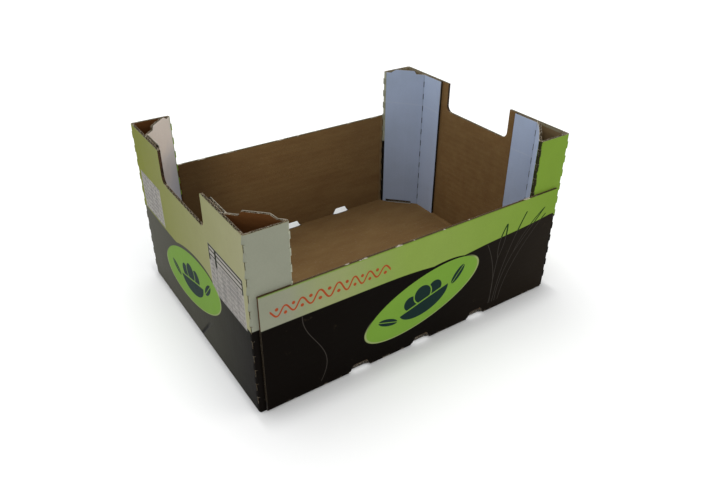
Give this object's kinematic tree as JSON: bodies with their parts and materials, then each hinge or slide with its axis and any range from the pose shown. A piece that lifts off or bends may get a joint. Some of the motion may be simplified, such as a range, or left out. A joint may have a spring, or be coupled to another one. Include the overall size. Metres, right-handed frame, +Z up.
{
  "type": "cardboard tray box",
  "caption": "Open stacking tray of printed corrugated board, folded and glued from one blank, with hollow corner posts, stacking tabs and low end openings.",
  "frame": {"origin": "centre of the footprint on the resting plane", "axes": "+X along the side panels, +Y across the tray, +Z up"},
  "size_m": [0.4, 0.3, 0.2095],
  "materials": {
    "board": "matt kraft board, printed on the outside"
  },
  "bodies": {
    "root": {"tray_box": "board"}
  },
  "joints": []
}
